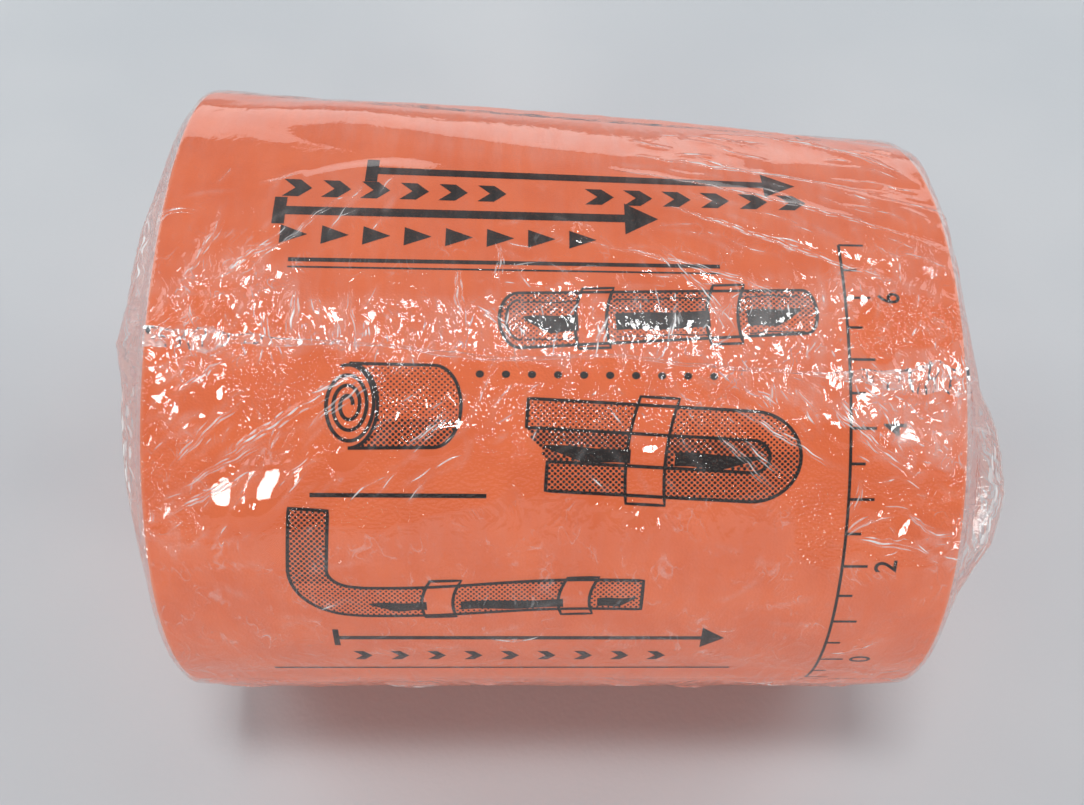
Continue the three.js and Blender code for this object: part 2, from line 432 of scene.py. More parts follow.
def film_material(name, least_haze, gloss_roughness):
    """Clear film: it shows what is behind it, mirrors lamps, and turns milky where it is creased; its
    whiter crease lines and crests are partly a painted highlight.
    """
    material, n, surface = new_material(name)
    where = sheet_place(n)
    haze = n.add("Attribute", attribute_name="haze").outputs["Fac"]
    cling = n.add("Attribute", attribute_name="cling").outputs["Fac"]
    crush = n.add("Attribute", attribute_name="crush").outputs["Fac"]
    lines = place_effect(n, FILM_LINES, {"Where": where, "Amount": crush})
    grain = place_effect(n, CELL_GRAIN, {"Where": where, "Cell Size": 0.5})
    at = {"Strength": 0.8, "Distance": 0.00042, "Height": lines["Height"]}
    facets = n.add("Bump", at).outputs[0]
    dimples = n.math("MULTIPLY", grain["Height"], cling)
    at = {"Strength": 0.8, "Distance": 0.00026, "Height": dimples, "Normal": facets}
    fine = n.add("Bump", at).outputs[0]
    streaks = n.noise(n.stretch(where, (0.5, 0.09, 1), 38), 1.0, 2.0, 0.6)
    milk_and_painted_glint = n.math("MULTIPLY_ADD", haze, n.between(streaks, 0.3, 0.75, 0.6, 1.25), least_haze)
    # The crease lines are added to the white share: partly the film's whitening, partly a painted
    # highlight
    milk_and_painted_glint = n.math("MULTIPLY_ADD", lines["Lines"], 0.55, milk_and_painted_glint, clamp=True)
    clear = n.add("BsdfTransparent", {"Color": (1.0, 0.99, 0.985, 1)}).outputs[0]
    white_haze_and_glint = n.add("BsdfDiffuse", {"Color": (0.93, 0.92, 0.92, 1)}).outputs[0]
    body = n.add("MixShader", {0: milk_and_painted_glint, 1: clear, 2: white_haze_and_glint}).outputs[0]
    at = {"Color": (1, 1, 1, 1), "Roughness": gloss_roughness, "Normal": fine}
    mirror = n.add("BsdfGlossy", at).outputs[0]
    from_middle = n.math("ABSOLUTE", n.add("SeparateXYZ", {0: where}).outputs[0])
    past_end = n.between(from_middle, HALF_WIDTH - 0.5, HALF_WIDTH + 1.5, 1.0, 0.4)
    fresnel = n.add("Fresnel", {"IOR": FILM_INDEX, "Normal": fine}).outputs[0]
    share = n.math("MULTIPLY", fresnel, past_end)
    seen = n.add("MixShader", {0: share, 1: body, 2: mirror}).outputs[0]
    for_light = n.add("BsdfTransparent", {"Color": (0.97, 0.965, 0.96, 1)}).outputs[0]
    path = n.add("LightPath").outputs
    look = n.add("MixShader", {0: path["Is Diffuse Ray"], 1: seen, 2: for_light}).outputs[0]
    look = n.add("MixShader", {0: path["Is Shadow Ray"], 1: look, 2: for_light}).outputs[0]
    n.tree.links.new(look, surface)
    return material


def floor_material():
    """Pale grey card with a faint unevenness."""
    material, n, surface = new_material("pale card")
    where = n.add("NewGeometry").outputs["Position"]
    cloud = n.noise(where, 9.0, 3.0, 0.6)
    fibre = n.noise(where, 900.0, 1.0, 0.6)
    tone = n.blend(n.between(cloud, 0.3, 0.7), (0.62, 0.655, 0.685, 1), (0.66, 0.69, 0.715, 1))
    bump = n.add("Bump", {"Strength": 0.12, "Distance": 0.0002, "Height": fibre}).outputs[0]
    at = {"Base Color": tone, "Roughness": 0.7, "Specular IOR Level": 0.25, "Normal": bump}
    look = n.add("BsdfPrincipled", at)
    n.tree.links.new(look.outputs[0], surface)
    return material


OUTER_ORANGE = foam_material("outer foam skin", (0.92, 0.182, 0.056, 1), (0.86, 0.158, 0.045, 1))
INNER_ORANGE = foam_material("inner foam skin", (0.90, 0.142, 0.049, 1), (0.80, 0.103, 0.032, 1))
PRINT_BLACK = ink_material()
ALUMINIUM = aluminium_material()
CLEAR_FILM = film_material("shrink film", 0.003, 0.06)
CREASED_FILM = film_material("creased film", 0.0, 0.10)


# The strip
def strip_places(steps):
    """Places along the strip, as turns in from the tail, closer together at its rounded corners."""
    cuts = STRIP_CORNER * np.linspace(0, 1, 9) ** 2
    even = np.arange(0, TURNS, 1 / steps)
    places = [even, cuts / (2 * np.pi * TAIL_RADIUS), TURNS - cuts / (2 * np.pi * EYE_RADIUS)]
    return np.unique(np.concatenate(places).round(6))


def half_width_at(turns_in):
    """Half the strip's width, less where its corners are rounded."""
    from_tail = turns_in * 2 * np.pi * TAIL_RADIUS
    from_eye = (TURNS - turns_in) * 2 * np.pi * EYE_RADIUS
    short = STRIP_CORNER - np.minimum(np.minimum(from_tail, from_eye), STRIP_CORNER)
    return HALF_WIDTH - STRIP_CORNER + np.sqrt(np.maximum(STRIP_CORNER**2 - short**2, 0))


def wound_layer(name, low, high, inset, edge_radius, spans, material, slot, node):
    """One layer of the strip, wound up with the roll, with rounded long edges."""
    turns_in = strip_places(ROLL_STEPS)
    angle = TAIL_ANGLE + 360 * turns_in
    edge = half_width_at(turns_in) - inset
    quarter = np.radians(np.linspace(0, 90, 5))[1:-1] if edge_radius > 0.2 else np.array([])
    share = np.linspace(-1, 1, spans + 1)
    ones = np.ones(len(quarter) + 1 if len(quarter) else 0)
    rise = np.append(np.sin(quarter), 1) if len(quarter) else quarter
    fall = np.append(np.cos(quarter), 0) if len(quarter) else quarter
    shares = np.concatenate([share, ones, ones, share[::-1], -ones, -ones])
    across = edge_radius * np.concatenate([0 * share, rise, rise[::-1], 0 * share, -rise, -rise[::-1]])
    outs = np.concatenate(
        [
            0 * share + high,
            high - edge_radius * (1 - fall),
            low + edge_radius * (1 - fall[::-1]),
            0 * share + low,
            low + edge_radius * (1 - fall),
            high - edge_radius * (1 - fall[::-1]),
        ]
    )
    slide = 0.22 * np.sin(turns_in * 3.7 + 1) * ease(turns_in) * ease(TURNS - turns_in)
    x = (edge - edge_radius)[:, None] * shares + across
    bend_x = x.copy()
    x = x + slide[:, None]
    distance = (winding_radius(turns_in)[:, None]) * form(angle[:, None], bend_x) + outs
    points = roll_point(x, distance, angle[:, None])
    rows, columns = x.shape
    faces = lattice(rows, columns, closed=True)
    faces += [list(range(columns))[::-1], [(rows - 1) * columns + j for j in range(columns)]]
    made = piece(name, points, faces, material, slot, node)
    along = np.broadcast_to((angle * ARC)[:, None], x.shape)
    note(made, "sheet_place", np.stack([x, along, outs + 0 * x], -1))
    at_edge = np.clip((np.abs(across) / max(edge_radius, 0.01)), 0, 1) + 0 * x
    note(made, "cut_edge", at_edge.ravel())
    return made


CORE_FACE = CORE_THICKNESS / 2 + BOND_LINE
outer_foam = wound_layer(
    "outer_foam_strip", CORE_FACE, LAMINATE / 2, 0, FOAM_EDGE, 24, OUTER_ORANGE, "foam", "outer_foam"
)
inner_foam = wound_layer(
    "inner_foam_strip", -LAMINATE / 2, -CORE_FACE, 0, FOAM_EDGE, 24, INNER_ORANGE, "foam", "inner_foam"
)
core_half = CORE_THICKNESS / 2
CORE_NODE = "aluminium_core"
wound_layer(
    "aluminium_strip", -core_half, core_half, CORE_INSET, CORE_EDGE, 8, ALUMINIUM, "core", CORE_NODE
)


# The print on the outer turn
PRINT_RISE = 0.035
PRINT_STEP = 1.1
DOT_PITCH = 0.76
OUTLINE = 0.46
CUFF_LINE = 0.42
marks = {"points": [], "faces": []}


def stamp(points, faces):
    """Adds flat marks to the print. Points are millimetres across and along the strip."""
    start = len(marks["points"])
    marks["points"] += [tuple(map(float, p)) for p in points]
    marks["faces"] += [[start + i for i in face] for face in faces]


def stroke(path, width, closed=False):
    """A line of even width along a path, with mitred turns."""
    path = np.asarray(path, float)
    if closed:
        path = np.vstack([path, path[:1]])
    fine = [path[0]]
    for a, b in zip(path[:-1], path[1:]):
        count = max(1, int(np.ceil(np.hypot(*(b - a)) / PRINT_STEP)))
        fine += [a + (b - a) * k / count for k in range(1, count + 1)]
    fine = np.array(fine)
    ahead = np.gradient(fine, axis=0)
    if closed:
        ahead[0] = ahead[-1] = fine[1] - fine[-2]
    side = np.stack([-ahead[:, 1], ahead[:, 0]], -1)
    side /= np.maximum(np.hypot(side[:, 0], side[:, 1]), 1e-9)[:, None]
    width = np.broadcast_to(np.asarray(width, float), len(fine))[:, None]
    points = np.concatenate([fine + side * width / 2, fine - side * width / 2])
    count = len(fine)
    stamp(points, [[i, count + i, count + i + 1, i + 1] for i in range(count - 1)])


def dot(x, s, radius, sides):
    a = np.linspace(0, 2 * np.pi, sides, endpoint=False)
    stamp(np.stack([x + radius * np.cos(a), s + radius * np.sin(a)], -1), [list(range(sides))])


def inside(x, s, outline):
    """Which points lie inside an outline."""
    outline = np.asarray(outline, float)
    ahead = np.roll(outline, -1, axis=0)
    hit = np.zeros(np.shape(x), bool)
    for (ax, ay), (bx, by) in zip(outline, ahead):
        if ay == by:
            continue
        crosses = (ay > s) != (by > s)
        hit ^= crosses & (x < (bx - ax) * (s - ay) / (by - ay) + ax)
    return hit


def solid_patch(outline):
    """A filled shape, cut up finely enough to lie on the curve."""
    outline = np.asarray(outline, float)
    low, high = outline.min(0), outline.max(0)
    gx, gs = np.meshgrid(np.arange(low[0], high[0], PRINT_STEP), np.arange(low[1], high[1], PRINT_STEP))
    grid = np.stack([gx.ravel(), gs.ravel()], -1)
    grid = grid[inside(grid[:, 0], grid[:, 1], outline)]
    points = [Vector(p) for p in np.vstack([outline, grid])]
    count = len(outline)
    edges = [(i, (i + 1) % count) for i in range(count)]
    made = delaunay_2d_cdt(points, edges, [list(range(count))], 1, 1e-4)
    stamp([tuple(p) for p in made[0]], [list(f) for f in made[2]])


def halftone(outline, pitch, size, keep_out=(), shade=None):
    """Rows of dots inside an outline, larger where the shade is darker."""
    outline = np.asarray(outline, float)
    low, high = outline.min(0), outline.max(0)
    rows = int((high[1] - low[1]) / (pitch * 0.5)) + 1
    columns = int((high[0] - low[0]) / pitch) + 1
    i, j = np.meshgrid(np.arange(rows), np.arange(columns), indexing="ij")
    x = (low[0] + (j + 0.5 * (i % 2)) * pitch).ravel()
    s = (low[1] + i * pitch * 0.5).ravel()
    hit = inside(x, s, outline)
    for other in keep_out:
        hit &= ~inside(x, s, other)
    for px, ps in zip(x[hit], s[hit]):
        dark = shade(px, ps) if shade else 0.5
        dot(px, ps, size * (0.72 + 0.6 * dark), 6)


def turned(points, place, turn):
    """Points moved and turned to their place on the strip."""
    a = np.radians(turn)
    points = np.asarray(points, float)
    x = points[:, 0] * np.cos(a) - points[:, 1] * np.sin(a) + place[0]
    s = points[:, 0] * np.sin(a) + points[:, 1] * np.cos(a) + place[1]
    return np.stack([x, s], -1)


def numeral(text, place, height, turn):
    """Plain figures in the built-in type."""
    curve = bpy.data.curves.new("figures", "FONT")
    curve.body = text
    curve.size = height * 1.38
    curve.align_x, curve.align_y = "CENTER", "CENTER"
    curve.offset = 0.03
    curve.resolution_u = 3
    holder = bpy.data.objects.new("figures", curve)
    bpy.context.scene.collection.objects.link(holder)
    bpy.context.view_layer.update()
    flat = holder.to_mesh()
    points = turned([(v.co.x, v.co.y) for v in flat.vertices], place, turn)
    faces = [list(f.vertices) for f in flat.polygons]
    holder.to_mesh_clear()
    bpy.data.objects.remove(holder)
    bpy.data.curves.remove(curve)
    stamp(points, faces)


def scale_marks(x, first, last):
    """A measuring scale round the strip's edge: a tick each half centimetre and a number each two."""
    for step in range(first, last + 1):
        long = step % 2 == 0
        stroke([(x, step * 5), (x + (3.4 if long else 2.0), step * 5)], 0.4)
        if step % 4 == 0:
            numeral(str((step // 2) % 30), (x + 6.0, step * 5), 3.1, 90)
    stroke([(x, first * 5), (x, last * 5)], 0.4)


def chevrons(start, s, count, pitch, height, weight):
    for k in range(count):
        x = start + k * pitch
        h = height / 2
        tip = (x + weight + h * 0.9, s)
        outline = [(x, s - h), (x + weight, s - h), tip, (x + weight, s + h), (x, s + h)]
        outline.append((x + h * 0.9, s))
        solid_patch(outline)


def arrow(start, end, s, width, head):
    stroke([(start, s), (end - head, s)], width)
    solid_patch([(end - head, s - head * 0.75), (end, s), (end - head, s + head * 0.75)])
    stroke([(start, s - head * 0.6), (start, s + head * 0.6)], width)


def cuff(centre, width, half, lean=0.5):
    """A wrapping band across a picture, bowed at both sides."""
    v = np.linspace(-1, 1, 9)
    bow = 0.8 * (1 - v * v)
    left = np.stack([centre - width / 2 - bow + lean * v, v * half], -1)
    right = np.stack([centre + width / 2 - bow + lean * v, v * half], -1)[::-1]
    return np.vstack([left, right])


def arc(centre, reach_x, reach_s, first, last, count=16):
    a = np.radians(np.linspace(first, last, count))
    return np.stack([centre[0] + reach_x * np.cos(a), centre[1] + reach_s * np.sin(a)], -1)


def band_outline(path, width):
    """The outline of a strip of even width along a path."""
    path = np.asarray(path, float)
    ahead = np.gradient(path, axis=0)
    side = np.stack([-ahead[:, 1], ahead[:, 0]], -1)
    side /= np.hypot(side[:, 0], side[:, 1])[:, None]
    return np.vstack([path + side * width / 2, (path - side * width / 2)[::-1]])


def shaded_shape(outline, put, cuffs, dark_shapes, shade):
    """A picture's body: dots inside its outline, solid shadows, and plain cuffs over both."""
    placed = [put(c) for c in cuffs]
    shadows = [put(d) for d in dark_shapes]
    halftone(put(outline), DOT_PITCH, 0.175, placed + shadows, shade)
    for shadow in shadows:
        solid_patch(shadow)
    stroke(put(outline), OUTLINE, closed=True)
    for band in placed:
        stroke(band, CUFF_LINE, closed=True)


def hollow(first, last, s, depth, taper_first, taper_last):
    """The dark of a hollow seen from the side: straight above, bowed below, closing where it tapers."""
    u = np.linspace(0, 1, 22)
    deep = np.ones_like(u)
    if taper_first:
        deep = deep * np.clip(u / 0.45, 0, 1) ** 0.7
    if taper_last:
        deep = deep * np.clip((1 - u) / 0.45, 0, 1) ** 0.7
    x = first + (last - first) * u
    low = s - depth * (0.12 + 0.88 * deep) + 0.12 * np.sin(9 * u)
    return np.vstack([np.stack([x, s + 0.1 * np.sin(7 * u)], -1), np.stack([x, low], -1)[::-1]])


def gutter_picture(place, turn, length, half):
    """A splint bent lengthwise into a gutter, with its hollow dotted and shadowed."""
    put = lambda points: turned(points, place, turn)
    end = length / 2
    left = arc((-end, 0), 2.6, half, 90, 270)
    right = arc((end, 0), 1.6, half * 0.82, -90, 90)
    ends = [(-0.485, -0.295, True, False), (-0.165, 0.165, False, False), (0.295, 0.485, False, True)]
    shadows = [hollow(a * length, b * length, half * 0.12, half * 0.62, c, d) for a, b, c, d in ends]
    cuffs = [cuff(c * length, 0.11 * length, half * 1.1) for c in (-0.23, 0.23)]
    shade = lambda px, ps: 0.75 if ps > place[1] else 0.25
    shaded_shape(np.vstack([left, right]), put, cuffs, shadows, shade)
    stroke(put(arc((-end, 0), 1.7, half * 0.72, 80, 280)), 0.34)
    for a, b, c, d in ends:
        u = np.linspace(a * length, b * length, 14)
        stroke(put(np.stack([u, half * 0.62 + 0.12 * np.sin(u)], -1)), 0.24)
        stroke(put(np.stack([u, -half * 0.74 + 0.10 * np.sin(u)], -1)), 0.2)


def tong_picture(place, turn, length, half):
    """A splint folded over into a long U, held by one cuff."""
    put = lambda points: turned(points, place, turn)
    end = length / 2
    bend = arc((end - half, 0), half, half, 90, -90, 20)
    run = np.linspace(-end, end - half, 24)[:-1]
    back = np.linspace(end - half, -end + 3, 24)[1:]
    path = np.vstack([np.stack([run, half + 0 * run], -1), bend, np.stack([back, -half + 0 * back], -1)])
    shadows = [
        hollow(-end + 2.4, -0.095 * length, 0.0, half * 0.46, True, False),
        hollow(0.075 * length, end - half * 0.75, 0.0, half * 0.46, False, True),
    ]
    inner_bend = arc((end - half, 0), half * 0.5, half * 0.48, 90, -90, 12)
    inner = np.vstack([inner_bend, [(-end + 3, -half * 0.5), (-end, half * 0.5)]])
    cuffs = [cuff(-0.01 * length, 0.15 * length, half * 1.75)]
    shade = lambda px, ps: 0.9 if ps < place[1] else 0.4
    shaded_shape(band_outline(path, half * 0.95), put, cuffs, [], shade)
    keep_out = [put(c) for c in cuffs] + [put(d) for d in shadows]
    halftone(put(inner), DOT_PITCH, 0.2, keep_out, lambda px, ps: 0.95)
    for shadow in shadows:
        solid_patch(put(shadow))


def stirrup_picture(place, turn, length, half):
    """A splint turned up at one end, with two cuffs round its long arm."""
    put = lambda points: turned(points, place, turn)
    end = length / 2
    rise = half * 3.4
    up = np.linspace(rise, 0, 8)
    toe = np.stack([-end - half + 0.10 * up, half * 2 + up], -1)
    turn_in = arc((-end + half * 1.4, half * 2), half * 2.4, half * 2, 186, 262, 12)
    run = np.linspace(-end + half * 1.6, end, 30)
    arm = np.stack([run, 0.35 * np.sin(run * 0.16)], -1)
    path = np.vstack([toe, turn_in, arm])
    spans = [(-end + 5, -0.195 * length, True, False), (-0.085 * length, 0.245 * length, False, False)]
    spans.append((0.355 * length, end - 0.8, False, True))
    shadows = [hollow(a, b, -half * 0.15, half * 0.55, c, d) for a, b, c, d in spans]
    cuffs = [cuff(c * length, 0.10 * length, half * 1.2) for c in (-0.14, 0.30)]
    shade = lambda px, ps: 0.4 + 0.5 * (ps > place[1] + half)
    shaded_shape(band_outline(path, half * 1.9), put, cuffs, shadows, shade)


def roll_picture(place, size):
    """A rolled splint seen from one end, with its dotted side."""
    a = np.linspace(0, 2 * np.pi * 3.3, 120)
    reach = size * (0.16 + 0.84 * a / a[-1])
    spiral = np.stack([reach * np.cos(a) * 0.62, reach * np.sin(a)], -1)
    b = np.linspace(-np.pi / 2, np.pi / 2, 30)
    near = np.stack([size * 0.66 * np.cos(b[::-1]), 1.03 * size * np.sin(b[::-1])], -1)
    far = np.stack([size * 0.62 * np.cos(b) + size * 1.9, size * np.sin(b)], -1)
    side = np.vstack([near, far])
    put = lambda points: turned(points, place, 0)
    halftone(put(side), 0.78, 0.18, (), lambda px, ps: 0.9 if ps < place[1] - size * 0.35 else 0.25)
    stroke(put(side), OUTLINE, closed=True)
    stroke(put(spiral), 0.5)


def print_marks():
    arrow(-26, 34, 103 * ARC, 1.7, 4.6)
    chevrons(-38, 97.2 * ARC, 6, 5.4, 3.8, 2.3)
    chevrons(4, 97.2 * ARC, 6, 5.4, 3.8, 2.3)
    arrow(-38, 14, 91.2 * ARC, 1.7, 4.6)
    for k in range(8):
        solid_patch(turned([(-1.5, -1.8), (2.2, 0), (-1.5, 1.8)], (-36 + 5.6 * k, 85.4 * ARC), 0))
    stroke([(-36, 79.6 * ARC), (22, 79.6 * ARC)], 0.7)
    stroke([(-36, 78.0 * ARC), (22, 78.0 * ARC)], 0.3)
    gutter_picture((14, 69.0 * ARC), 3, 38, 4.4)
    roll_picture((-27, 52.0 * ARC), 5.8)
    for k in range(10):
        dot(-10 + 3.4 * k, 57.6 * ARC, 0.55, 12)
    tong_picture((13, 44.6 * ARC), -3, 34, 4.3)
    stroke([(-32, 36.8 * ARC), (-9, 36.8 * ARC)], 0.6)
    stirrup_picture((-9, 17.5 * ARC), 2, 42, 2.7)
    arrow(-30, 24, 7.6 * ARC, 0.8, 3.2)
    chevrons(-28, 1.6 * ARC, 9, 5.2, 2.6, 1.4)
    stroke([(-40, -4.0 * ARC), (26, -4.0 * ARC)], 0.5)
    scale_marks(38.5, -2, 14)
    scale_marks(38.5, 22, 40)
    for base in (-80, -122, 150):
        chevrons(-30, base * ARC, 9, 6.4, 3.6, 1.7)
        gutter_picture((0, (base + 16) * ARC), 0, 42, 4.8)


print_marks()
flat_marks = np.array(marks["points"])
mark_angle = flat_marks[:, 1] / ARC
mark_past = turns_past_tail(mark_angle)
mark_reach = winding_radius(mark_past) * form(mark_angle, flat_marks[:, 0]) + LAMINATE / 2 + PRINT_RISE
mark_points = roll_point(flat_marks[:, 0], mark_reach, mark_angle)
black_print = piece("black_print", mark_points, marks["faces"], PRINT_BLACK, "foam")
note(black_print, "sheet_place", np.column_stack([flat_marks, 0 * mark_angle]))


# The film's shape
FILM_LIE = 0.14
CORNER = 1.1
BARREL = HALF_WIDTH + 0.35 - CORNER
CORNER_ARC = CORNER * np.pi / 2
END_REACH = 25.0
BASE_GAP = FILM_CLEARANCE / 2 + FILM_THICKNESS - 0.03

# Round the top, the film lies smoother between these angles
CALM_FIRST, CALM_LAST, CALM_EASE = 78, 150, 16

# Long folds: three places, in millimetres across and degrees round, then height and half width
LONG_FOLDS = [
    ((-49.8, 40.8), (-45.4, 47.2), (-40.2, 53.0), 0.75, 0.7),
    ((-44.8, 41.9), (-35.8, 49.3), (-26.5, 57.2), 0.95, 0.9),
    ((-42.8, 59.8), (-46.3, 56.4), (-49.9, 52.9), 0.55, 0.6),
    ((-37.4, 42.8), (-36.3, 46.0), (-35.1, 49.3), 0.7, 0.6),
    ((-51.4, 35.8), (-42.2, 42.6), (-33.2, 48.5), 0.5, 0.6),
    ((-52.9, 32.3), (-42.2, 39.2), (-33.2, 46.0), 0.4, 0.8),
    ((-33.2, 46.0), (-29.3, 51.1), (-22.3, 57.8), 0.55, 0.7),
    ((-20.9, 42.8), (-15.1, 49.6), (-11.2, 53.0), 0.45, 0.5),
    ((-33.9, 52.7), (-29.4, 55.4), (-22.4, 59.0), 0.35, 0.6),
    ((-38.6, 70.0), (-38.1, 65.2), (-37.6, 60.6), 0.55, 0.5),
    ((-34.4, 74.5), (-34.5, 67.2), (-34.5, 61.9), 0.65, 0.5),
    ((-25.3, 69.1), (-25.0, 65.4), (-24.6, 61.7), 0.5, 0.5),
    ((-27.4, 72.7), (-26.7, 67.3), (-25.9, 61.3), 0.45, 0.5),
    ((-48.3, 70.0), (-47.3, 66.9), (-46.2, 63.6), 0.5, 0.5),
    ((-29.9, 68.6), (-28.6, 64.4), (-28.9, 61.3), 0.6, 0.7),
    ((33.3, 55.4), (41.0, 46.8), (49.2, 39.0), 0.85, 0.9),
    ((30.9, 55.7), (32.6, 53.6), (34.3, 51.5), 0.6, 0.5),
    ((36.7, 54.3), (38.4, 51.6), (40.3, 49.2), 0.65, 0.5),
    ((41.2, 54.0), (42.6, 51.3), (44.0, 48.5), 0.6, 0.5),
    ((24.1, 46.6), (26.6, 44.1), (29.7, 41.2), 0.6, 0.6),
    ((39.9, 41.3), (39.6, 36.8), (37.9, 33.3), 0.55, 0.5),
    ((52.9, 64.9), (53.2, 58.3), (53.2, 52.4), 0.6, 0.6),
    ((46.0, 34.8), (50.0, 31.6), (53.2, 32.0), 0.5, 0.5),
    ((19.6, 50.0), (24.0, 44.0), (30.8, 36.4), 0.45, 0.7),
    ((21.4, 53.4), (30.5, 46.7), (39.9, 39.9), 0.55, 0.8),
    ((38.1, 30.1), (41.5, 33.0), (44.5, 34.0), 0.45, 0.5),
    ((38.1, 30.1), (43.1, 29.4), (51.9, 27.6), 0.45, 0.6),
    ((27.9, 58.0), (28.2, 53.5), (28.4, 50.4), 0.4, 0.45),
    ((23.3, 56.1), (26.6, 54.4), (30.5, 50.9), 0.4, 0.5),
    ((9.3, 108.7), (32.0, 103.4), (52.5, 98.3), 0.55, 1.3),
    ((6.3, 104.3), (28.5, 96.3), (52.5, 84.8), 0.5, 1.4),
    ((11.7, 96.7), (27.8, 86.3), (51.6, 73.0), 0.5, 1.3),
    ((0.4, 85.3), (19.3, 78.8), (40.1, 66.6), 0.4, 1.1),
    ((22.0, 122.0), (39.3, 116.0), (52.5, 103.9), 0.6, 1.2),
    ((11.4, 88.2), (19.1, 74.4), (26.7, 60.8), 0.35, 0.8),
    ((-11.5, 71.6), (-6.8, 66.0), (-3.2, 60.6), 0.4, 0.6),
    ((-7.7, 85.0), (-7.6, 78.0), (-7.8, 71.6), 0.4, 0.5),
    ((7.0, 69.9), (5.7, 64.1), (4.4, 58.6), 0.45, 0.5),
    ((0.4, 67.8), (-0.1, 64.1), (-0.9, 59.5), 0.5, 0.5),
    ((16.4, 72.2), (15.2, 66.2), (14.6, 60.3), 0.45, 0.5),
    ((-13.7, 80.1), (-13.1, 73.6), (-12.7, 65.8), 0.45, 0.5),
    ((-55.2, 104.0), (-55.8, 84.0), (-55.4, 66.0), 0.3, 0.5),
    ((-57.4, 96.0), (-57.6, 80.0), (-57.2, 66.0), 0.3, 0.5),
    ((-57.6, 60.0), (-57.2, 48.0), (-56.2, 28.0), 0.3, 0.5),
    ((-55.4, 57.0), (-55.9, 44.0), (-55.3, 30.0), 0.3, 0.5),
    ((56.0, 60.0), (57.6, 44.0), (57.4, 26.0), 0.3, 0.5),
    ((55.4, 52.0), (56.2, 38.0), (55.6, 20.0), 0.3, 0.5),
    ((57.8, 30.0), (57.2, 20.0), (56.0, 9.0), 0.3, 0.5),
    ((60.6, 48.0), (61.2, 36.0), (60.4, 24.0), 0.3, 0.5),
    ((-45.6, 73.3), (-41.1, 79.8), (-35.7, 85.1), 0.5, 0.6),
    ((-54.0, 83.4), (-51.8, 90.6), (-48.4, 90.0), 0.4, 0.6),
    ((-39.4, 78.9), (-34.8, 85.9), (-29.3, 94.8), 0.35, 0.6),
    ((-50.8, 72.3), (-47.2, 81.3), (-45.3, 94.5), 0.4, 0.6),
]

# How many of the small folds have a pinched crest
RIDGE_SHARE = 0.5

# Bunches of smaller folds: middle, spread across and round, lean from and to, lengths, heights, how many
FOLD_BUNCHES = [
    ((-44, 66), (8, 7), (60, 120), (2.0, 6.0), (0.25, 0.55), 42),
    ((-47, 52), (6, 9), (20, 75), (2.0, 7.0), (0.25, 0.6), 34),
    ((-24, 66), (13, 6), (70, 110), (2.0, 7.0), (0.2, 0.5), 44),
    ((0, 66), (14, 7), (60, 125), (2.0, 6.5), (0.18, 0.45), 40),
    ((24, 66), (12, 8), (30, 130), (1.5, 6.0), (0.2, 0.5), 46),
    ((44, 68), (8, 12), (20, 150), (1.5, 6.0), (0.2, 0.5), 42),
    ((30, 53), (16, 4), (-70, -25), (2.5, 9.0), (0.2, 0.5), 44),
    ((46, 49), (6, 6), (-60, 30), (1.5, 5.0), (0.3, 0.65), 44),
    ((48, 34), (5, 8), (-50, 40), (2.0, 6.0), (0.2, 0.45), 18),
    ((-46, 34), (7, 7), (15, 60), (2.0, 6.0), (0.2, 0.5), 22),
    ((-28, 44), (14, 7), (25, 60), (3.0, 10.0), (0.15, 0.45), 34),
    ((-5, 50), (14, 6), (30, 80), (3.0, 9.0), (0.12, 0.35), 24),
    ((14, 47), (10, 8), (-60, -30), (3.0, 10.0), (0.12, 0.35), 22),
    ((34, 92), (16, 12), (-40, -12), (5.0, 16.0), (0.15, 0.4), 34),
    ((6, 82), (16, 8), (-60, 20), (3.0, 9.0), (0.12, 0.32), 22),
    ((-36, 88), (14, 14), (10, 70), (4.0, 12.0), (0.12, 0.32), 20),
    ((30, 112), (20, 9), (-30, 5), (4.0, 12.0), (0.2, 0.45), 26),
    ((0, 15), (44, 14), (-35, 35), (4.0, 12.0), (0.08, 0.24), 26),
    ((0, -15), (48, 10), (-25, 25), (4.0, 12.0), (0.15, 0.4), 30),
]

# Smooth places where the film stands off: place, size, lean and height
LIFTS = [
    ((-43.8, 34.6), (1.9, 3.2), -22, 1.0),
    ((-41.2, 37.2), (1.5, 4.0), -26, 1.1),
    ((-37.4, 37.6), (2.1, 4.6), -34, 1.1),
    ((-47.3, 51.0), (3.0, 2.4), 20, 0.9),
    ((-29.0, 65.6), (1.4, 2.4), -10, 0.8),
    ((-26.5, 44.0), (1.6, 2.6), -30, 0.7),
    ((-15.0, 46.0), (3.2, 1.5), 25, 0.6),
    ((49.0, 50.0), (4.0, 3.0), 10, 0.9),
    ((46.5, 45.0), (3.5, 2.4), -20, 0.8),
    ((51.0, 31.0), (3.0, 2.6), 15, 0.9),
    ((25.5, 69.0), (3.0, 2.4), 0, 0.7),
    ((36.0, 72.0), (4.0, 2.6), 20, 0.6),
    ((4.0, 76.0), (3.4, 1.6), 15, 0.6),
    ((28.0, 100.0), (22.0, 3.5), -16, 0.9),
    ((34.0, 90.0), (20.0, 3.0), -22, 0.8),
    ((10.0, 120.0), (36.0, 9.0), -4, 1.5),
    ((-30.0, 96.0), (10.0, 4.0), 24, 0.5),
    ((0.0, -14.0), (40.0, 6.0), 0, 1.0),
]

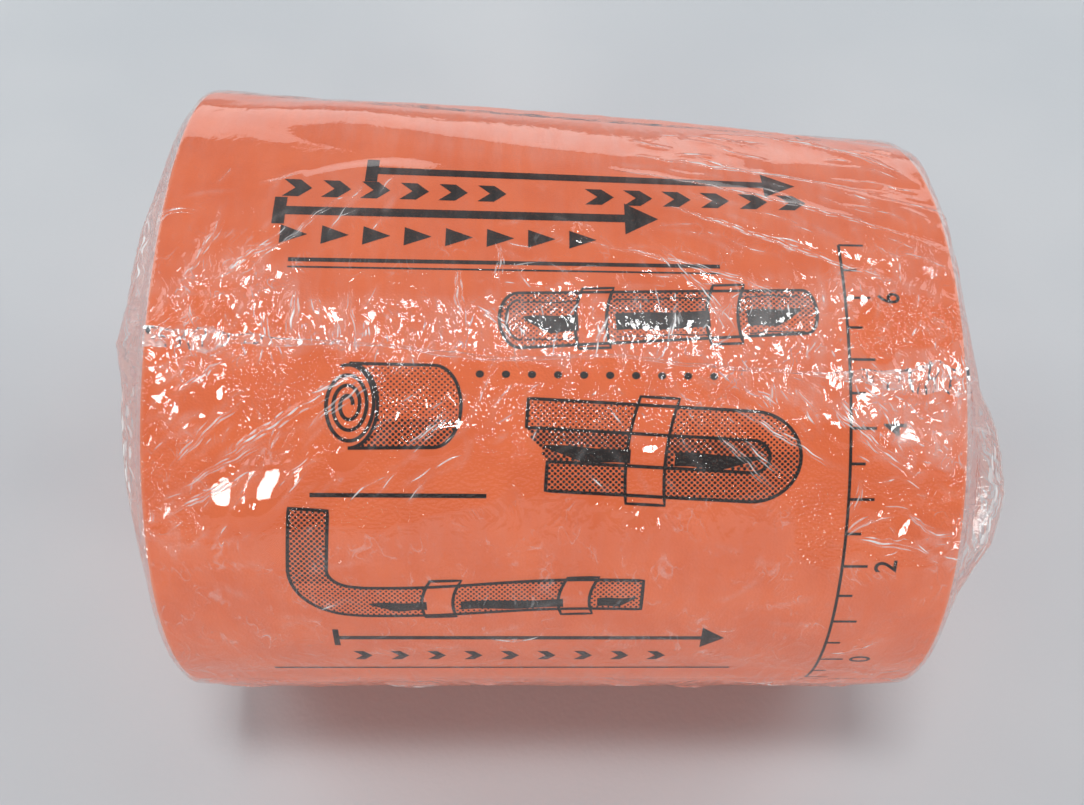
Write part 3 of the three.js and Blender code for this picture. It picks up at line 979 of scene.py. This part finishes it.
# Where the film is crushed: place, size, lean, depth and the size of its facets
CRUSHED = [
    ((-47.5, 62.0), (5.5, 4.5), 5, 0.85, 2.2),
    ((-43.0, 70.0), (8.0, 7.0), 0, 0.35, 2.4),
    ((-22.0, 65.0), (14.0, 4.5), 0, 0.26, 2.2),
    ((2.0, 66.0), (14.0, 5.0), 0, 0.26, 2.2),
    ((31.0, 67.0), (11.0, 7.0), 10, 0.38, 2.2),
    ((44.0, 66.0), (7.0, 9.0), 0, 0.32, 2.0),
    ((47.5, 50.0), (6.5, 5.0), -12, 0.8, 2.3),
    ((30.0, 55.0), (12.0, 3.0), 0, 0.36, 2.0),
    ((51.0, 31.5), (3.5, 4.5), 10, 0.4, 1.8),
    ((-49.5, 40.0), (3.5, 9.0), 0, 0.35, 2.0),
    ((-38.0, 48.0), (8.0, 4.0), 35, 0.22, 2.2),
]

# Where the film clings to the foam: place, size and lean
CLINGING = [
    ((-30.0, 46.0), (26.0, 12.0), -3),
    ((-44.0, 38.0), (12.0, 7.5), 4),
    ((8.0, 48.0), (34.0, 9.5), -6),
    ((42.0, 38.0), (15.0, 10.0), -20),
    ((47.0, 68.0), (7.0, 5.0), 0),
    ((-45.0, 60.0), (10.0, 9.0), 0),
]

# Flat glossy facets, pulled taut between creases: middle, half sizes, lean, and slopes across and round
FACETS = [
    ((-43.1, 38.0), (1.6, 2.7), -25, (0.30, 0.12)),
    ((-39.7, 38.5), (1.0, 3.3), -22, (0.32, 0.125)),
    ((-37.1, 39.2), (1.4, 3.4), -34, (0.33, 0.14)),
    ((-50.6, 33.5), (0.6, 1.8), -40, (0.28, 0.03)),
    ((-52.2, 46.5), (0.6, 1.6), -15, (0.29, 0.28)),
    ((-34.8, 46.2), (0.35, 2.6), -28, (0.36, 0.26)),
    ((-29.3, 67.6), (1.1, 1.5), -12, (-0.07, 0.07)),
    ((-36.4, 75.6), (0.8, 0.6), 0, (-0.09, 0.19)),
    ((-28.0, 45.0), (0.5, 2.0), -40, (0.40, 0.25)),
    ((16.0, 66.2), (3.4, 0.9), 0, (0.10, 0.05)),
    ((23.5, 67.2), (4.6, 1.0), 4, (0.125, 0.085)),
    ((30.5, 68.4), (2.4, 0.9), 12, (0.145, 0.10)),
    ((35.0, 70.4), (2.6, 0.8), 34, (0.16, 0.14)),
    ((36.6, 67.0), (2.4, 0.6), 30, (0.165, 0.07)),
    ((12.3, 44.8), (1.5, 0.8), 15, (0.07, -0.33)),
    ((53.0, 58.5), (0.6, 4.6), 2, (0.24, -0.08)),
]

# Bunches of small facets: middle, spread, slopes, half sizes from and to, how many
FACET_BUNCHES = [
    ((-47.5, 52.8), (4.5, 4.0), (-0.14, -0.19), (0.5, 1.3), 24),
    ((-48.0, 61.5), (5.0, 3.5), (-0.14, -0.03), (0.4, 1.0), 26),
    ((-38.5, 66.0), (5.0, 4.5), (-0.10, 0.05), (0.35, 0.7), 16),
    ((-44.0, 74.0), (7.0, 4.0), (-0.12, 0.18), (0.3, 0.6), 10),
    ((36.0, 72.0), (6.5, 4.5), (0.17, 0.17), (0.4, 1.0), 26),
    ((30.0, 64.0), (9.0, 3.5), (0.15, 0.03), (0.4, 0.9), 26),
    ((42.0, 54.5), (6.0, 5.5), (0.20, -0.16), (0.5, 1.3), 40),
    ((49.5, 54.0), (3.5, 3.5), (0.22, -0.17), (0.5, 1.2), 18),
    ((47.5, 47.0), (4.0, 4.0), (0.22, -0.30), (0.5, 1.2), 22),
    ((4.0, 65.0), (20.0, 2.6), (0.05, 0.04), (0.3, 0.7), 30),
    ((14.0, 65.5), (8.0, 1.6), (0.09, 0.04), (0.3, 0.6), 20),
    ((-3.0, 74.0), (10.0, 2.2), (0.01, 0.18), (0.25, 0.55), 18),
    ((-26.0, 65.6), (6.0, 2.6), (-0.07, 0.04), (0.35, 0.9), 16),
    ((-32.0, 46.5), (7.0, 3.0), (0.37, 0.26), (0.25, 0.5), 14),
    ((-17.0, 51.0), (7.0, 2.5), (-0.04, -0.20), (0.3, 0.6), 8),
    ((39.5, 33.6), (4.0, 1.6), (-0.31, 0.0), (0.4, 0.9), 6),
    ((46.5, 32.0), (3.0, 1.6), (-0.29, -0.04), (0.4, 1.0), 6),
    ((5.0, 33.0), (11.0, 3.5), (-0.45, -0.03), (0.3, 0.7), 8),
    ((4.0, 85.0), (14.0, 3.0), (0.04, 0.37), (0.25, 0.6), 10),
]


def facet_table():
    """Every facet as its middle, half sizes, lean and slopes."""
    rows = [[*place, *size, lean, *slopes] for place, size, lean, slopes in FACETS]
    rng = np.random.default_rng(31)
    for middle, spread, slopes, sizes, count in FACET_BUNCHES:
        for _ in range(count):
            x = middle[0] + spread[0] * rng.uniform(-1, 1)
            angle = middle[1] + spread[1] * rng.uniform(-1, 1)
            half = rng.uniform(*sizes)
            lean, jitter = rng.uniform(-38, 38), rng.normal(0, 0.03, 2)
            long = half * rng.uniform(1.1, 2.6)
            rows.append([x, angle, half, long, lean, slopes[0] + jitter[0], slopes[1] + jitter[1]])
    return np.array(rows)


ALL_FACETS = facet_table()


def with_facets(x, s, lift):
    """The film's height with the flat facets set in it, and how far each point is inside one."""
    within = np.zeros_like(x)
    for mid, angle, half, half_long, lean, slope_x, slope_s in ALL_FACETS:
        dx, ds = x - mid, s - angle * ARC
        reach = 1.6 * max(half, half_long)
        near = (np.abs(dx) < reach) & (np.abs(ds) < reach)
        if not near.any():
            continue
        mask = spot(x[near], s[near], (mid, angle), (half, half_long), lean, 0.3)
        base = 0.12 + abs(slope_x) * half + abs(slope_s) * half_long
        plane = base + slope_x * dx[near] + slope_s * ds[near]
        lift[near] = lift[near] * (1 - mask) + plane * mask
        within[near] = np.maximum(within[near], mask)
    return lift, within


def fold_table():
    """Every fold as its two ends, bow, height, half width and waver, in millimetres on the sheet."""
    rows = []
    for a, m, b, height, width in LONG_FOLDS:
        a, m, b = (np.array([p[0], p[1] * ARC]) for p in (a, m, b))
        ahead = b - a
        length = np.hypot(*ahead)
        side = np.array([-ahead[1], ahead[0]]) / length
        rows.append([*a, *b, float((m - (a + b) / 2) @ side), height, width, 0.13])
    rng = np.random.default_rng(77)
    for middle, spread, lean, lengths, heights, count in FOLD_BUNCHES:
        for _ in range(count):
            x = middle[0] + spread[0] * rng.uniform(-1, 1)
            s = (middle[1] + spread[1] * rng.uniform(-1, 1)) * ARC
            a = np.radians(rng.uniform(*lean))
            length = rng.uniform(*lengths) * rng.uniform(0.6, 1)
            dx, ds = length / 2 * np.cos(a), length / 2 * np.sin(a)
            ends = [x - dx, s - ds, x + dx, s + ds]
            bow, height = length * rng.uniform(-0.12, 0.12), rng.uniform(*heights)
            rows.append([*ends, bow, height, rng.uniform(0.35, 0.6), 0.09])
    return np.array(rows)


FOLDS = fold_table()


def waver(share, row, number):
    """How far a fold strays from its even curve, along its length."""
    length = np.hypot(row[2] - row[0], row[3] - row[1])
    reach, along = row[7] * min(1, length / 8), share * length
    return reach * (np.sin(along * 0.9 + number * 1.7) + 0.5 * np.sin(along * 2.1 + number * 2.9))


def fold_path(row, number, share):
    """Points along a fold, on the sheet."""
    a, b = row[:2], row[2:4]
    ahead = b - a
    side = np.array([-ahead[1], ahead[0]]) / np.hypot(*ahead)
    off = 4 * row[4] * share * (1 - share) + waver(share, row, number)
    return a + share[:, None] * ahead + off[:, None] * side


def fold_relief(x, s):
    """How far the folds raise the film, and how near each point is to a crest."""
    raised, crest = np.zeros_like(x), np.zeros_like(x)
    for number, row in enumerate(FOLDS):
        reach = 3.2 * row[6] + abs(row[4]) + 0.6
        near = (x > min(row[0], row[2]) - reach) & (x < max(row[0], row[2]) + reach)
        near &= (s > min(row[1], row[3]) - reach) & (s < max(row[1], row[3]) + reach)
        if not near.any():
            continue
        dx, ds = row[2] - row[0], row[3] - row[1]
        length = np.hypot(dx, ds)
        px, ps = x[near] - row[0], s[near] - row[1]
        share = (px * dx + ps * ds) / length**2
        across = (-px * ds + ps * dx) / length
        inner = np.clip(share, 0, 1)
        across = across - 4 * row[4] * inner * (1 - inner) - waver(inner, row, number)
        beyond = np.maximum(np.abs(share - 0.5) - 0.5, 0) * length
        taper = np.clip(4.5 * inner * (1 - inner), 0, 1) ** 0.6 * np.exp(-(beyond**2) * 4)
        steep = np.where(across > 0, 0.75, 1.35) * row[6]
        ridge = np.exp(-np.sqrt(across**2 + 0.01) / steep)
        raised[near] = np.maximum(raised[near], row[5] * taper * ridge)
        crest[near] = np.maximum(crest[near], taper * np.exp(-((across / 0.45) ** 2)))
    return raised, crest


def film_relief(p, angle):
    """Height above the foam, haze with a painted highlight on fold crests, cling and crush, at a place
    along the profile and round the roll.
    """
    x = np.clip(p, -HALF_WIDTH, HALF_WIDTH)
    s = angle * ARC
    on_barrel = ease((HALF_WIDTH + 1.2 - np.abs(p)) / 2.4)
    down = np.clip(np.abs(p) - BARREL - CORNER_ARC, 0, END_REACH) / END_REACH
    stand = np.zeros_like(p)
    for place, size, lean, height in LIFTS:
        stand = np.maximum(stand, height * spot(x, s, place, size, lean, 0.7))
    crushed, crush = np.zeros_like(p), np.zeros_like(p)
    for number, (place, size, lean, depth, facet) in enumerate(CRUSHED):
        within = spot(x, s, place, size, lean, 0.6)
        crushed = np.maximum(crushed, depth * within * crumple(x, s, facet, 500 + 40 * number))
        crush = np.maximum(crush, within * min(1, depth * 1.5))
    cling = np.zeros_like(p)
    jitter = 2.4 * ripple(x, s, 7, 21) + 0.9 * ripple(x, s, 2.2, 22)
    for place, size, lean in CLINGING:
        cling = np.maximum(cling, spot(x + jitter, s + jitter, place, size, lean, 0.045))
    folds, crest = fold_relief(x, s)
    gentle = 0.10 * (1 + ripple(x, s, 16, 3)) + 0.05 * (1 + ripple(x, s, 5, 4))
    slack = (1 - 0.75 * cling) * gentle
    ends = down * (1 - down) * 4
    pleat = np.abs(ripple(0 * p, s, 3.0, 61) * 0.9 + 0.35 * ripple(0 * p, s, 1.4, 62))
    bend = 1.4 * ripple(np.abs(p), s, 6, 63)
    crushed_ends = crumple(p + bend, s, 3.4, 70) * 0.8 + 1.5 * (pleat - 0.2) * ends
    in_view = np.clip((np.cos(np.radians(angle - 50)) + 0.3) / 0.6, 0, 1)
    elsewhere = (1 - in_view) * crumple(x, s, 4.5, 90) * 0.45
    lift, flat = with_facets(x, s, slack + np.maximum(stand * 0.8, 0) + folds + crushed + elsewhere)
    lift = on_barrel * lift
    rough_end = ease((down - 0.12) / 0.35)
    end_lift = 0.3 + 0.55 * crushed_ends * rough_end + 0.15 * crushed_ends * ease(down * 8)
    lift = lift + (1 - on_barrel) * end_lift
    pressed = ease((-np.sin(np.radians(angle)) - 0.93) / 0.05) * on_barrel
    lift = lift * (1 - pressed) + BASE_GAP * pressed
    shadow = ripple(x, s, 9, 8) * 0.5 + 0.5
    # Fold crests get more haze: partly creased film whitening, partly a painted highlight
    haze = 0.026 + 0.02 * shadow + 0.05 * np.clip(stand, 0, 1) + 0.07 * crest + 0.03 * crush
    haze = haze + 0.30 * np.clip(crushed, 0, 0.8)
    haze = haze * (1 - 0.9 * cling * (1 - 0.6 * crest))
    haze = haze * on_barrel + (1 - on_barrel) * (0.02 + 0.06 * crumple(p, s, 5, 95))
    crush = np.maximum(crush, 0.30 * (1 - cling) + 0.25 * crest) * on_barrel + 0.55 * (1 - on_barrel)
    a = np.mod(angle, 360)
    calm_top = ease((a - CALM_FIRST) / CALM_EASE) * ease((CALM_LAST - a) / CALM_EASE)
    crush = crush * (1 - 0.7 * flat) * (1 - 0.85 * calm_top * on_barrel)
    return lift, haze, cling * on_barrel * (1 - np.clip(folds * 3 + stand * 2, 0, 1)) * (1 - flat), crush


def end_puff(angle, down, side):
    """How far the film bulges past an end."""
    a = np.mod(angle, 360)
    left, right = np.interp(a, PUFF_ANGLES, LEFT_PUFFS), np.interp(a, PUFF_ANGLES, RIGHT_PUFFS)
    fall = np.interp(down, [0, 0.03, 0.1, 0.24, 0.6, 1], [0, 0.6, 1, 0.6, 0.1, 0])
    return END_PUFF * np.where(side < 0, left, right) * fall


def film_point(p, angle, lift):
    """A place on the film: p runs along its profile from vent to vent, 0 at mid width."""
    side = np.sign(p)
    x_at = np.clip(p, -HALF_WIDTH, HALF_WIDTH)
    turn = np.clip(np.abs(p) - BARREL, 0, CORNER_ARC) / CORNER
    down = np.clip(np.abs(p) - BARREL - CORNER_ARC, 0, END_REACH) / END_REACH
    rim = outer_reach(angle, x_at) + FILM_LIE - CORNER * (1 - np.cos(turn))
    ragged = 1.3 * ripple(0 * p, angle * ARC, 5, 64)
    vent = VENT_RADIUS * form(angle, x_at) + ragged
    x = side * (np.minimum(np.abs(p), BARREL) + CORNER * np.sin(turn) + end_puff(angle, down, side))
    out = rim + (vent - rim) * down
    x = x + side * np.sin(turn) * lift
    out = out + np.cos(turn) * lift
    point = roll_point(x, out, angle)
    point[..., 2] = np.maximum(point[..., 2], 0.02 * MM)
    return point


def film_stations():
    """Places along the film's profile: close together in front, wider apart towards the vents."""
    half = np.concatenate(
        [
            np.arange(0, BARREL, 0.42),
            BARREL + np.linspace(0, CORNER_ARC, 5),
            BARREL + CORNER_ARC + np.array([0.3, 0.6, 1, 1.4, 1.9, 2.4, 3, 3.6, 4.3, 5, 5.8, 6.6]),
            BARREL + CORNER_ARC + np.linspace(7.4, END_REACH, 20),
        ]
    )
    return np.unique(np.concatenate([-half, half]).round(4))


def film_piece(name, first, last, columns):
    stations = film_stations()
    p, angle = np.meshgrid(stations, np.linspace(first, last, columns))
    lift, haze, cling, crush = film_relief(p, angle)
    faces = lattice(columns, len(stations))
    made = piece(name, film_point(p, angle, lift), faces, CLEAR_FILM, "film", "film_wrap")
    note(made, "sheet_place", np.stack([p, angle * ARC, 0 * p], -1))
    for label, values in (("haze", haze), ("cling", cling), ("crush", crush)):
        note(made, label, values.ravel())
    return made


FRONT_FIRST, FRONT_LAST = -28, 134
FRONT_COLUMNS, BACK_COLUMNS = 300, 120
film_piece("film_front", FRONT_FIRST, FRONT_LAST, FRONT_COLUMNS)
film_piece("film_back", FRONT_LAST, FRONT_FIRST + 360, BACK_COLUMNS)


def crease_ridges():
    """Pinched crests along the folds: thin, sharp, and white in broken runs, a painted highlight
    standing for glints on top of the film's whitening.
    """
    lines, rises, milk_and_painted_glints, counts = [], [], [], []
    rng = np.random.default_rng(5)
    for number, row in enumerate(FOLDS):
        length = np.hypot(row[2] - row[0], row[3] - row[1])
        is_long = number < len(LONG_FOLDS)
        chosen, reach, shine, first, last, lean, rate, phase = rng.uniform(0, 1, 8)
        if not is_long and (chosen > RIDGE_SHARE or row[5] < 0.17):
            continue
        beside = [0.0, 0.35 + 0.5 * reach, -0.3 - 0.6 * lean] if is_long else [0.0]
        for turn, offset in enumerate(beside):
            count = max(7, int(length / 0.3))
            start, stop = 0.03 + 0.25 * first, 0.97 - 0.25 * last
            if turn == 1:
                start, stop = 0.3 * last, 0.55 + 0.3 * first
            path = fold_path(row, number, np.linspace(start, stop, count))
            ahead = np.gradient(path, axis=0)
            side = np.stack([-ahead[:, 1], ahead[:, 0]], -1)
            side /= np.hypot(side[:, 0], side[:, 1])[:, None]
            along = np.linspace(0, 1, count)
            path = path + side * (offset * (0.35 + 0.65 * along))[:, None]
            taper = np.clip(5 * along * (1 - along), 0.08, 1)
            wave = 0.5 + 0.5 * np.sin(along * length * (0.5 + 1.1 * rate) + 6 * phase + 2 * turn)
            width = (0.03 + 0.045 * reach + 0.015 * is_long) * taper * (0.6 + 0.7 * wave)
            least = 0.26 if is_long else 0.12
            # Painted highlight: the white share peaks in broken runs along each crest, over a lower
            # whitening all along it
            milk_and_painted_glint = least + (0.3 + 0.6 * shine) * ease((wave - 0.3) / 0.4)
            milk_and_painted_glint = milk_and_painted_glint * taper**0.5 * (1.0, 0.7, 0.55)[turn]
            for shift, rise in ((-1.4, 0.0), (lean - 0.5, 0.9), (1.0, 0.0)):
                lines.append(path + side * (shift * width)[:, None])
                rises.append(0.02 + 0.03 * (rise > 0) + rise * width)
                milk_and_painted_glints.append(milk_and_painted_glint)
            counts.append(count)
    places, rises = np.concatenate(lines), np.concatenate(rises)
    angle = places[:, 1] / ARC
    lift = film_relief(places[:, 0], angle)[0]
    points = film_point(places[:, 0], angle, lift + rises)
    faces, start = [], 0
    for count in counts:
        for a in (start, start + count):
            faces += [[a + i, a + i + 1, a + count + i + 1, a + count + i] for i in range(count - 1)]
        start += 3 * count
    made = piece("film_creases", points, faces, CREASED_FILM, "film")
    note(made, "sheet_place", np.column_stack([places, 0 * angle]))
    # The ridges' haze values are mostly this painted highlight
    note(made, "haze", np.concatenate(milk_and_painted_glints))
    note(made, "crush", np.full(len(places), 0.2))
    return made


crease_ridges()


def seam_angle(x):
    return SEAM_ANGLE + SEAM_SLANT * x / STRIP_WIDTH


def heat_seam():
    """The welded seam: a narrow double edge, wider and crushed towards its ends."""
    along = np.linspace(-BARREL - 0.4, BARREL + 0.4, 560)
    across = np.linspace(-1, 1, 11)
    p, v = np.meshgrid(along, across, indexing="ij")
    x = np.clip(p, -HALF_WIDTH, HALF_WIDTH)
    near_end = ease((np.abs(p) - 26) / 26)
    flared = 1.9 * near_end**1.5 * (0.7 + 0.5 * ripple(x, v, 3.5, 305))
    widen = 0.30 + flared + 0.10 * ripple(x, 0 * x, 9, 301)
    stray = 0.7 * ripple(x, 0 * x, 16, 302) + 0.18 * ripple(x, 0 * x, 4, 303)
    angle = seam_angle(x) + (stray + v * widen * (1 + 0.3 * ripple(x, v * 3, 2.5, 304))) / ARC
    lift = film_relief(p, angle)[0]
    double = 0.10 * np.exp(-(((np.abs(v) - 0.72) / 0.2) ** 2)) + 0.07 * (1 - v * v)
    ruck = near_end * 0.24 * crumple(x, angle * ARC, 1.9, 310)
    points = film_point(p, angle, lift + 0.04 + double + ruck)
    made = piece("film_seam", points, lattice(len(along), len(across)), CREASED_FILM, "film")
    note(made, "sheet_place", np.stack([p, angle * ARC, 0 * p], -1))
    edge = np.exp(-(((np.abs(v) - 0.8) / 0.22) ** 2))
    broken = 0.55 + 0.45 * ripple(x, v * 2, 3, 311)
    white_edge = 0.30 * edge * broken * (1 - 0.5 * near_end)
    white_end = 0.55 * near_end * crumple(x, angle * ARC, 1.6, 312) ** 2
    note(made, "haze", (0.05 + white_edge + white_end).ravel())
    note(made, "crush", (0.25 + 0.6 * near_end).ravel())
    return made


heat_seam()


# The floor, the lamps and the camera
def floor_card():
    reach, steps = 1.6, 24
    line = np.linspace(-reach, reach, steps)
    x, y = np.meshgrid(line, line)
    points = np.stack([x, y, 0 * x], -1)
    made = piece("floor_card", points, lattice(steps, steps), floor_material())


def lamp(name, place, aim, size, power, colour=(1, 1, 1)):
    light = bpy.data.lights.new(name, "AREA")
    light.shape = "RECTANGLE"
    light.size, light.size_y = size
    light.energy = power
    light.color = colour
    made = bpy.data.objects.new(name, light)
    made.location = place
    made.rotation_euler = (Vector(aim) - Vector(place)).to_track_quat("-Z", "Y").to_euler()
    made.visible_camera = False
    bpy.context.scene.collection.objects.link(made)


def soft_room():
    world = bpy.data.worlds.new("pale room")
    world.use_nodes = True
    ground = world.node_tree.nodes["Background"]
    ground.inputs["Color"].default_value = (0.86, 0.93, 1.0, 1)
    ground.inputs["Strength"].default_value = 0.16
    bpy.context.scene.world = world


floor_card()
soft_room()
ROLL_MIDDLE = (0, 0, 0.04)
lamp("left_back_lamp", (-0.58, 0.28, 0.50), ROLL_MIDDLE, (0.46, 0.46), 1.35, (0.98, 0.99, 1.0))
lamp("right_back_lamp", (0.58, 0.28, 0.50), ROLL_MIDDLE, (0.46, 0.46), 1.35, (0.98, 0.99, 1.0))
lamp("left_front_lamp", (-0.60, -0.60, 0.18), ROLL_MIDDLE, (0.16, 0.16), 1.5, (1.0, 0.98, 0.96))
lamp("right_front_lamp", (0.62, -0.56, 0.18), ROLL_MIDDLE, (0.16, 0.16), 1.5, (1.0, 0.98, 0.96))
lamp("wide_front_lamp", (0.0, -0.95, 0.22), ROLL_MIDDLE, (1.4, 0.4), 0.9)
lamp("back_lamp", (0.0, 0.50, 0.16), (0, 0.05, 0), (1.4, 0.20), 1.1)
lamp("overhead_lamp", (-0.04, -0.06, 1.05), ROLL_MIDDLE, (0.27, 0.18), 3.9)

# The camera, as fitted to the roll's rims and ends in the photograph
FRAME_WIDTH_PX = 1084
FOCAL_PX = 1256
SENSOR_MM = 36
CAMERA_DISTANCE = 206
CAMERA_ASIDE = -3.5
ELEVATION = np.radians(56)
YAW, PITCH_DOWN, ROLL = 0.0100, -0.0150, 0.01005


def tilt(v):
    """Turns a direction from the level camera's own axes up to its elevation."""
    c, s = np.cos(ELEVATION), np.sin(ELEVATION)
    return np.array([v[0], v[1] * c + v[2] * s, -v[1] * s + v[2] * c])


def place_camera():
    level, drop = np.cos(PITCH_DOWN), np.sin(PITCH_DOWN)
    ahead = np.array([np.sin(YAW) * level, np.cos(YAW) * level, drop])
    right = np.array([np.cos(YAW), -np.sin(YAW), 0])
    up = np.cross(right, ahead)
    rolled_right = np.cos(ROLL) * right + np.sin(ROLL) * up
    rolled_up = -np.sin(ROLL) * right + np.cos(ROLL) * up
    ahead, rolled_right, rolled_up = tilt(ahead), tilt(rolled_right), tilt(rolled_up)
    place = np.array([MID_X, MID_Y, AXIS_HEIGHT]) + tilt(np.array([CAMERA_ASIDE, -CAMERA_DISTANCE, 0]))
    lens = bpy.data.cameras.new("camera")
    lens.sensor_width = SENSOR_MM
    lens.lens = FOCAL_PX / FRAME_WIDTH_PX * SENSOR_MM
    lens.clip_start = 0.01
    made = bpy.data.objects.new("camera", lens)
    axes = Matrix((rolled_right, rolled_up, -ahead)).transposed().to_4x4()
    made.matrix_world = Matrix.Translation(Vector(place * MM)) @ axes
    bpy.context.scene.collection.objects.link(made)
    bpy.context.scene.camera = made


place_camera()
bpy.context.scene.view_settings.view_transform = "Standard"
